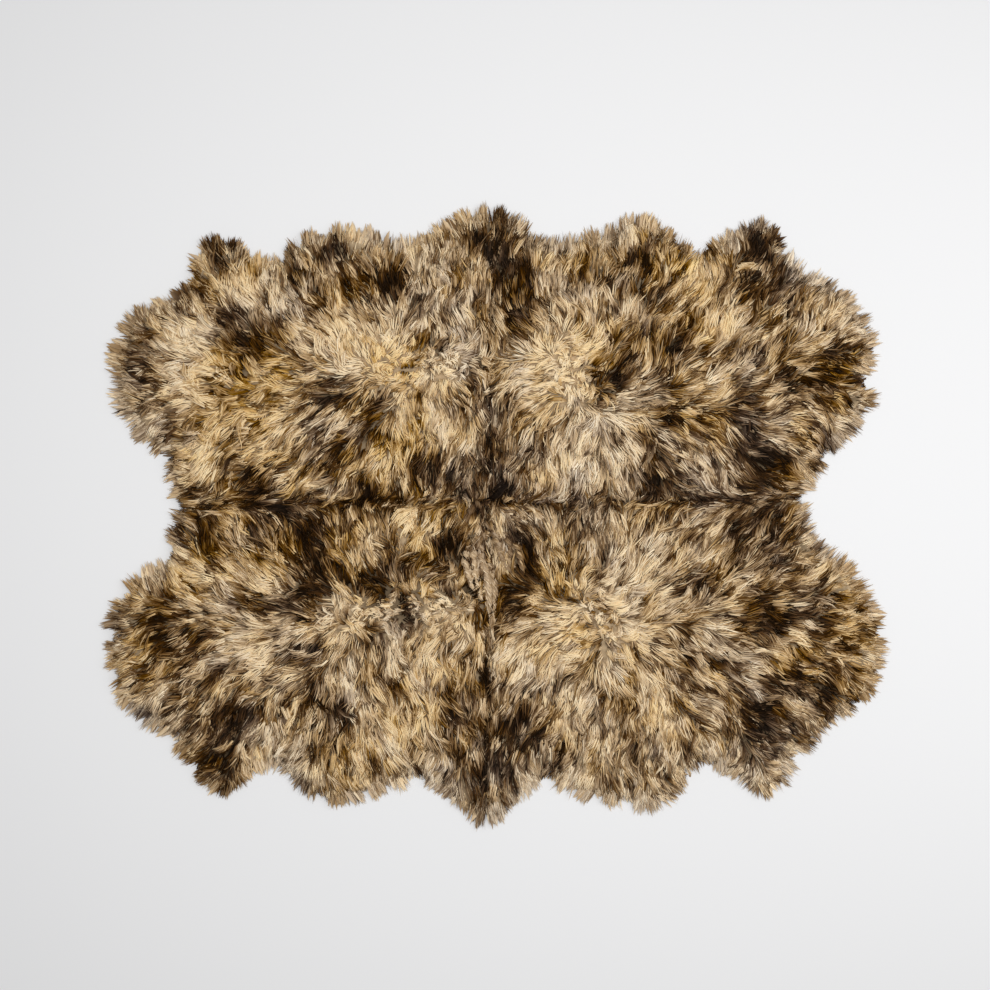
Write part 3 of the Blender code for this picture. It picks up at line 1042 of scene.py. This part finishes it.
def make_underwool(skin, material, ground):
    """Dense wool close to the leather: the solid's own shape, lower and drawn in at the rim, under the
    strands."""
    name = skin.node.replace("skin", "underwool")
    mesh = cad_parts[skin.node].data.copy()
    mesh.name = name
    points = np.empty(len(mesh.vertices) * 3, np.float32)
    mesh.vertices.foreach_get("co", points)
    points = points.reshape(-1, 3)
    base = bpy.context.scene.rug_hide.thickness + 0.3 * MM
    plan = points[:, :2].astype(float)
    solid_height = points[:, 2].copy()
    points[:, 2] = base + np.maximum(
        solid_height * UNDERWOOL_HEIGHT - sunk_at(plan), solid_height * UNDERWOOL_LEAST
    )
    drawn_in = np.maximum(UNDERWOOL_INSET - ground.inside_at(plan), 0)
    drawn_in *= (np.abs(from_seams(plan)) > 2 * MM).all(axis=1)
    points[:, :2] += ground.inward_at(plan) * drawn_in[:, None]
    mesh.vertices.foreach_set("co", points.ravel())
    add_values(mesh, "shade", shade_of(tone_at(points[:, :2].astype(float))))
    mesh.materials.clear()
    mesh.materials.append(material)
    mesh.update()
    piece = add_piece(name, mesh)
    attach(piece, BODY)
    return piece


Locks = namedtuple("Locks", "grid roots away angle curl reach lift tone tip_tone warmth root_shade")
Wisps = namedtuple("Wisps", "grid roots lock angle curl growth lift slip tone")


def scatter_locks(skin, rng):
    """The roots of the locks over the rug, and how each lock differs."""
    wool = bpy.context.scene.rug_wool
    grid = jittered_grid(wool.lock_spacing, rng)
    roots = grid.reshape(-1, 2)
    count = len(roots)
    away = from_crown(roots, skin)
    tousled = tousled_at(roots, skin)
    turn = LOCK_TURN + LOCK_TURN_TOUSLED * tousled + LOCK_TURN_CROWN * fading(away, LOCK_TURN_REACH)
    grown = wool.reach * (CROWN_LENGTH + (1 - CROWN_LENGTH) * smooth_step(away / FULL_LENGTH_REACH))
    return Locks(
        grid=grid,
        roots=roots,
        away=away,
        angle=rng.normal(0, 1, count) * turn,
        curl=rng.normal(0, 1, count) * (LOCK_CURL + LOCK_CURL_TOUSLED * tousled),
        reach=grown * rng.uniform(*LOCK_GROWTH, count),
        lift=rng.uniform(-LOCK_LIFT, LOCK_LIFT, count),
        tone=rng.normal(0, LOCK_TONE, count),
        tip_tone=rng.normal(0, LOCK_TIP_TONE, count),
        warmth=rng.normal(0, LOCK_WARMTH, count),
        root_shade=rng.normal(0, LOCK_ROOT_SHADE, count),
    )


def scatter_wisps(locks, rng):
    """The roots of the wisps, the lock that each is in, and how each wisp differs."""
    wool = bpy.context.scene.rug_wool
    grid = jittered_grid(wool.wisp_spacing, rng)
    roots = grid.reshape(-1, 2)
    count = len(roots)
    lock = nearest_in_grid(roots, locks.grid, wool.lock_spacing)
    turn = WISP_TURN + WISP_TURN_CROWN * fading(locks.away[lock], WISP_TURN_REACH)
    return Wisps(
        grid=grid,
        roots=roots,
        lock=lock,
        angle=locks.angle[lock] + rng.normal(0, 1, count) * turn,
        curl=locks.curl[lock] + rng.normal(0, WISP_CURL, count),
        growth=rng.uniform(*WISP_GROWTH, count),
        lift=rng.uniform(-WISP_LIFT, WISP_LIFT, count),
        slip=rng.normal(0, WISP_SLIP, count),
        tone=rng.normal(0, WISP_TONE, count),
    )


def scatter_roots(skin, ground, rng):
    """Where the strands of one skin grow, twice as thick at its crown."""
    spacing = bpy.context.scene.rug_wool.root_spacing
    roots = jittered_grid(spacing, rng).reshape(-1, 2)
    crown_roots = jittered_grid(spacing, rng).reshape(-1, 2)
    roots = np.concatenate((roots, crown_roots[from_crown(crown_roots, skin) < THICKET_REACH]))
    roots = roots[on_skin(roots, skin)]
    return roots[ground.inside_at(roots) > 0]


def make_fleece(skin, ground, comb):
    """The wool of one skin: strands in wisps, and wisps in locks, that lean away from the crown."""
    wool = bpy.context.scene.rug_wool
    rng = np.random.default_rng(wool.seed + SKINS.index(skin))
    locks = scatter_locks(skin, rng)
    wisps = scatter_wisps(locks, rng)
    roots = scatter_roots(skin, ground, rng)
    number = len(roots)
    at_rim = 1 - smooth_step(ground.inside_at(roots) / RIM_WIDTH)
    wisp = nearest_in_grid(roots, wisps.grid, wool.wisp_spacing)
    lock = wisps.lock[wisp]
    steps = StrandStep(*np.array(STRAND_STEPS).T)

    angle = wisps.angle[wisp] * (1 - RIM_STRAIGHTER * at_rim) + rng.normal(0, STRAND_TURN, number)
    uneven = (STRAND_UNEVEN + RIM_MORE_UNEVEN * at_rim) * rng.uniform(0, 1, number)
    length = locks.reach[lock] * wisps.growth[wisp] * (1 - uneven) * STRAND_LONGEST
    curl = wisps.curl[wisp] * (1 - RIM_LESS_CURLED * at_rim)
    path = comb.path(roots, length, steps.share, angle, curl)
    room = room_to_seams(roots, path[:, -1], skin, rng)
    path = comb.path(roots, length * room, steps.share, angle, curl)

    flow = unit(path[:, -1] - path[:, 0])
    side = quarter_turned(flow)
    to_wisp = ((wisps.roots[wisp] - roots) * side).sum(axis=1)
    to_lock = ((locks.roots[lock] - wisps.roots[wisp]) * side).sum(axis=1)
    drawn = (to_wisp * wool.wisp_gather + to_lock * wool.lock_gather) * (1 - RIM_LOOSER * at_rim)
    path += side[:, None] * (drawn[:, None] * steps.share**GATHER_POWER)[..., None]
    past_rim = np.maximum(-ground.inside_at(path[:, -1]) - rng.uniform(0, RIM_OVERHANG, number), 0)
    path -= (flow * past_rim[:, None])[:, None] * steps.share[:, None] ** 2

    lift = locks.lift[lock] + wisps.lift[wisp] + rng.uniform(-STRAND_LIFT, STRAND_LIFT, number)
    lift -= sunk_at(path[:, 2])
    heights = np.stack([ground.height_at(path[:, step]) for step in range(len(STRAND_STEPS))], axis=1)
    heights = np.maximum(heights * steps.rise + lift[:, None] * steps.lift, steps.least_mm * MM)
    spines = np.concatenate((path, heights[..., None]), axis=2)
    width = wool.width * rng.uniform(*STRAND_WIDTHS, number) * (1 - RIM_FINER * at_rim)
    widths = np.stack((width, width * STRAND_TAPER), axis=1)

    # Lower strands are painted darker and lifted ones paler: painted shade deep in the wool
    own = locks.tone[lock] + wisps.tone[wisp] + LIFT_PAINTED_SHADE * lift / LIFTED_BY + RIM_PALER * at_rim
    grain = hair_grain(number, rng)
    slip = flow * wisps.slip[wisp][:, None] + side * to_wisp[:, None] * 0.8
    near, far = (
        shade_of(own + change * locks.tip_tone[lock] + tone_along(path[:, step], slip, comb)) + grain
        for step, change in ((1, -1), (3, 1))
    )
    # The first two points are painted darker, as the shade near the root
    root, low = STRAND_ROOT_PAINTED_SHADE
    shades = np.stack((near * root + locks.root_shade[lock], near * low, (near + far) / 2, far), axis=1)
    warmths = warmth_at(roots) + locks.warmth[lock] + rng.normal(0, STRAND_WARMTH, number)
    warmths -= RIM_GREYER * at_rim
    piece = strand_mesh(skin.node.replace("skin", "fleece"), spines, widths, shades, warmths)
    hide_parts(skin.node)
    return piece


def tone_along(points, slip, comb):
    """Tone of a strand at these points: the wool's own, which frays along the lean where it changes, and
    streaks."""
    return tone_at(points + slip) + sum(comb.streaks(points, streak) for streak in STREAKS)


def room_to_seams(roots, tips, skin, rng):
    """Share of its length that each strand has before it is too far over a seam."""
    sides = np.array((skin.side_x, skin.side_y))
    wander = swells_at(tips, SEAM_WANDER_SWELLS_MM) * MM
    limit = np.abs(rng.normal(0, SEAM_OVERHANG, (len(tips), 1))) + wander[:, None]
    start = from_seams(roots) * sides
    end = from_seams(tips) * sides
    room = np.clip((start + limit) / np.maximum(start - end, 1 * MM), SEAM_LEAST_LENGTH, 1)
    return np.where(end < -limit, room, 1).min(axis=1)


def at_parting(points):
    """How near each point is to the parting over a seam, from 0 to 1."""
    return fading(np.abs(from_seams(points)).min(axis=1), PARTING_WIDTH)


def sunk_at(points):
    """How much lower the wool lies in the parting over each seam and in its darkest hollows."""
    parting = (PARTING_DEPTH_MM + swells_at(points, PARTING_DEPTH_SWELLS_MM)) * at_parting(points)
    hollow = HOLLOW_DEPTH_MM * smooth_step((-patch_tone(points) - HOLLOW_TONE) / HOLLOW_CHANGE)
    return (parting + hollow) * MM


def hair_grain(number, rng):
    """Small differences of shade from strand to strand, with one darker hair in eight."""
    return rng.normal(0, GRAIN, number) - DARK_HAIR_DARKER * (rng.uniform(0, 1, number) < DARK_HAIRS)


def tone_at(points):
    """How pale the wool is about each point, around 0: listed patches, and mottling between them."""
    patches = PATCH_STRENGTH * patch_tone(points)
    limit = np.where(patches > 0, PALE_LIMIT, DARK_LIMIT)
    # Over the parting the wool is painted darker, as the shade in its groove
    parting = (PARTING_PAINTED_SHADE + swells_at(points, PARTING_PAINTED_SHADE_SWELLS)) * at_parting(points)
    return limit * np.tanh(patches / limit) + swells_at(points, MOTTLE_SWELLS) + parting


def shade_of(tone):
    """A tone as a shade from 0, near black, to 1, cream."""
    darkest, palest = SHADES
    return darkest + (palest - darkest) / (1 + np.exp(-SHADE_STEEPNESS * (tone + SHADE_PALER)))


def warmth_at(points):
    """How golden or grey the wool is, from 0 to 1."""
    tints = sum(tint.warmth * spot_at(points, tint) for tint in TINTS)
    return WARMTH + swells_at(points, WARMTH_SWELLS) + tints


def make_fringe(skin, comb):
    """Fine hairs round the free edge, which droop from the rim and lie on the floor."""
    wool = bpy.context.scene.rug_wool
    rng = np.random.default_rng(wool.seed + 10 + SKINS.index(skin))
    guide_roots, guide_tips = edge_locks(skin.node)
    apart = np.linalg.norm(guide_roots[:, None] - guide_roots[None], axis=2)
    neighbours = np.argsort(apart, axis=1)[:, 1:3]
    one = np.repeat(np.arange(len(guide_roots)), wool.wisps_per_lock)
    count = len(one)
    other = neighbours[one, rng.integers(0, 2, count)]
    share = rng.uniform(0, 0.55, count)[:, None]
    wisp_roots = guide_roots[one] * (1 - share) + guide_roots[other] * share
    wisp_tips = guide_tips[one] * (1 - share) + guide_tips[other] * share
    reach = np.linalg.norm(wisp_tips - wisp_roots, axis=1)
    direction = unit(unit(wisp_tips - wisp_roots) + FRINGE_COMBED * comb.at(wisp_roots))
    direction = turned(direction, rng.normal(0, 0.08, count))
    across = quarter_turned(direction)
    tone = tone_at(wisp_tips - direction * 16 * MM) + rng.normal(FRINGE_PALER, FRINGE_TONE, count)
    warmth = warmth_at(wisp_roots) + rng.normal(-FRINGE_GREYER, 0.05, count)
    bend = rng.normal(0, 0.05, count) + swells_at(wisp_roots, FRINGE_BEND_SWELLS)

    wisp = np.repeat(np.arange(count), wool.strands_per_wisp)
    number = len(wisp)
    spread = across[wisp] * rng.normal(0, FRINGE_SPREAD, number)[:, None]
    roots = wisp_roots[wisp] + spread - direction[wisp] * rng.uniform(0, FRINGE_DEPTH, number)[:, None]
    target = wisp_roots[wisp] + direction[wisp] * reach[wisp][:, None] + spread * 0.7
    growth = FRINGE_LONGEST - FRINGE_UNEVEN * rng.uniform(0, 1, number) ** 0.65
    tips = roots + (target - roots) * growth[:, None]
    tips += across[wisp] * rng.normal(0, 1.5 * MM, number)[:, None]
    travel = tips - roots
    bow = quarter_turned(travel) * (bend[wisp] + rng.normal(0, 0.02, number))[:, None]
    layer = rng.uniform(0, 1, number)
    spines = np.zeros((number, len(FRINGE_STEPS), 3))
    for index, step in enumerate(FRINGE_STEPS):
        spines[:, index, :2] = roots + travel * step.share + bow * step.sway
        spines[:, index, 2] = (step.least_mm + step.rise_mm * layer) * MM
    width = wool.width * rng.uniform(*FRINGE_WIDTHS, number)
    widths = np.stack((width, width * 0.6), axis=1)
    middle = shade_of(tone)[wisp] + 3 * hair_grain(number, rng)
    tip_shade = middle + 0.4 * (FRINGE_TIP_SHADE - middle)
    # A hair's first point is painted darker, as the shade deep in the wool at its root
    shades = np.stack((middle * 0.8, middle, middle, tip_shade), axis=1)
    warmths = warmth[wisp] + rng.normal(0, 0.04, number)
    return strand_mesh(skin.node.replace("skin", "fringe"), spines, widths, shades, warmths)


def make_curls(ground):
    """Grey curly locks that hang over the crossing of the seams. Each winds like a corkscrew."""
    wool = bpy.context.scene.rug_wool
    rng = np.random.default_rng(wool.seed + 30)
    shares = np.linspace(0, 1, CURL_POINTS)
    spines, shades, warmths = [], [], []
    for curl in CURLS:
        root = np.array((curl.root_x_mm, curl.root_y_mm)) * MM
        travel = np.array((curl.tip_x_mm, curl.tip_y_mm)) * MM - root
        side = quarter_turned(unit(travel[None]))[0]
        turns = np.linalg.norm(travel) / CURL_PITCH
        start = rng.uniform(0, 2 * np.pi)
        for _ in range(wool.strands_per_curl):
            taper = 1 - CURL_TAPER * shares**2
            phase = 2 * np.pi * turns * shares + start + rng.normal(0, CURL_PHASE)
            aside, raised = rng.normal(0, 1, 2)
            across = (CURL_RADIUS * np.sin(phase) + aside * CURL_SPREAD) * taper
            across += curl.bow_mm * MM * np.sin(np.pi * shares)
            place = root + np.outer(shares * rng.uniform(*CURL_LENGTHS), travel) + np.outer(across, side)
            bulge = (2 - 3 * np.abs(aside) + 1.2 * raised) * MM
            height = ground.height_at(place) - 0.6 * sunk_at(place)
            height += (0.5 * CURL_RADIUS * np.cos(phase) + bulge) * taper
            height[0] -= CURL_ROOT_DEPTH
            height[-1] -= CURL_TIP_DEPTH
            spines.append(np.column_stack((place, height)))
            # Strands far to the side of the lock lie lower and are painted darker, as the shade at its
            # sides
            shade = curl.shade + rng.normal(*CURL_SHADE) - 0.06 * np.abs(aside)
            # Each turn is painted paler where it comes up and darker where it goes down, as light and shade
            shades.append(shade + CURL_TURN_PAINTED_LIGHT * np.cos(phase))
            warmths.append(curl.warmth + rng.normal(*CURL_WARMTH))
    widths = np.full((len(spines), CURL_POINTS - 2), wool.width * CURL_WIDTH)
    strand_mesh("centre_curls", np.array(spines), widths, np.array(shades), np.array(warmths))


# Operators


class RUG_OT_hides(bpy.types.Operator):
    """Cut the suede side of each skin"""

    bl_idname = "rug.hides"
    bl_label = "Hides"

    def execute(self, context):
        material = suede_material()
        for skin in SKINS:
            piece, area = make_hide(skin, material)
            low, high = (Vector(corner) for corner in (piece.bound_box[0], piece.bound_box[6]))
            piece["flat_size"] = (high.x - low.x, high.y - low.y)
            piece["flat_area"] = area
        return {"FINISHED"}


class RUG_OT_underwool(bpy.types.Operator):
    """Lay the dense wool close to the skins"""

    bl_idname = "rug.underwool"
    bl_label = "Underwool"

    def execute(self, context):
        material = underwool_material()
        ground = Ground()
        for skin in SKINS:
            make_underwool(skin, material, ground)
        return {"FINISHED"}


class RUG_OT_fleece(bpy.types.Operator):
    """Grow the wool over each skin"""

    bl_idname = "rug.fleece"
    bl_label = "Fleece"

    def execute(self, context):
        ground = Ground()
        for skin in SKINS:
            comb = Comb(skin)
            make_fleece(skin, ground, comb)
            make_fringe(skin, comb)
        return {"FINISHED"}


class RUG_OT_curls(bpy.types.Operator):
    """Hang the curly locks over the crossing of the seams"""

    bl_idname = "rug.curls"
    bl_label = "Curls"

    def execute(self, context):
        make_curls(Ground())
        return {"FINISHED"}


class RUG_OT_declare(bpy.types.Operator):
    """Does nothing: the hides are left as they are"""

    bl_idname = "rug.declare"
    bl_label = "Laid sheets"

    def execute(self, context):
        return {"FINISHED"}


class RUG_OT_stage(bpy.types.Operator):
    """Set the floor, the soft lights and the camera over the rug"""

    bl_idname = "rug.stage"
    bl_label = "Stage"

    def execute(self, context):
        stage = context.scene.rug_stage
        bpy.ops.mesh.primitive_plane_add(size=stage.floor_width)
        floor = context.object
        floor.name = "floor"
        floor.data.materials.append(floor_material())
        floor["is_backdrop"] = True

        camera = add_piece("camera", bpy.data.cameras.new("camera"))
        camera.data.lens = 50
        camera.data.sensor_width = 36
        camera.location = (-2 * MM, 43 * MM, stage.camera_height)
        context.scene.camera = camera

        for light in LIGHTS:
            area = bpy.data.lights.new(light.name, "AREA")
            area.energy = getattr(stage, light.name + "_power")
            area.shape = "RECTANGLE"
            area.size = light.width
            area.size_y = light.height
            lamp = add_piece(light.name, area)
            lamp.location = (light.x, light.y, light.z)
            lamp.rotation_euler = (-lamp.location).to_track_quat("-Z", "Y").to_euler()

        world = bpy.data.worlds.new("studio")
        world.use_nodes = True
        sky = world.node_tree.nodes["Background"]
        sky.inputs["Color"].default_value = (1.0, 1.0, 1.0, 1)
        sky.inputs["Strength"].default_value = stage.sky_strength
        context.scene.world = world
        context.scene.view_settings.view_transform = "Standard"
        return {"FINISHED"}


class RUG_PT_panel(bpy.types.Panel):
    """Lists the rug's pieces and their settings"""

    bl_idname = "RUG_PT_panel"
    bl_label = "Sheepskin rug"
    bl_space_type = "VIEW_3D"
    bl_region_type = "UI"
    bl_category = "Rug"

    def draw(self, context):
        for operator in OPERATORS:
            self.layout.operator(operator.bl_idname)
        for name, group in GROUPS.items():
            column = self.layout.column()
            for key in group.__annotations__:
                column.prop(getattr(context.scene, name), key)


GROUPS = {"rug_wool": WoolSizes, "rug_colours": WoolColours, "rug_hide": HideSizes, "rug_stage": StageSizes}
OPERATORS = (RUG_OT_hides, RUG_OT_underwool, RUG_OT_fleece, RUG_OT_curls, RUG_OT_declare, RUG_OT_stage)


def register():
    for group in GROUPS.values():
        bpy.utils.register_class(group)
    for name, group in GROUPS.items():
        setattr(bpy.types.Scene, name, bpy.props.PointerProperty(type=group))
    for operator in OPERATORS:
        bpy.utils.register_class(operator)
    bpy.utils.register_class(RUG_PT_panel)


def unregister():
    bpy.utils.unregister_class(RUG_PT_panel)
    for operator in reversed(OPERATORS):
        bpy.utils.unregister_class(operator)
    for name, group in GROUPS.items():
        delattr(bpy.types.Scene, name)
        bpy.utils.unregister_class(group)


def main():
    register()
    bpy.ops.rug.stage()
    bpy.ops.rug.hides()
    bpy.ops.rug.underwool()
    bpy.ops.rug.fleece()
    bpy.ops.rug.curls()
    bpy.ops.rug.declare()
    boxes = {"cad": CAD_BOX, "visual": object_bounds()}
    boxes = {name: [list(corner) for corner in box] for name, box in boxes.items()}


if __name__ == "__main__":
    main()
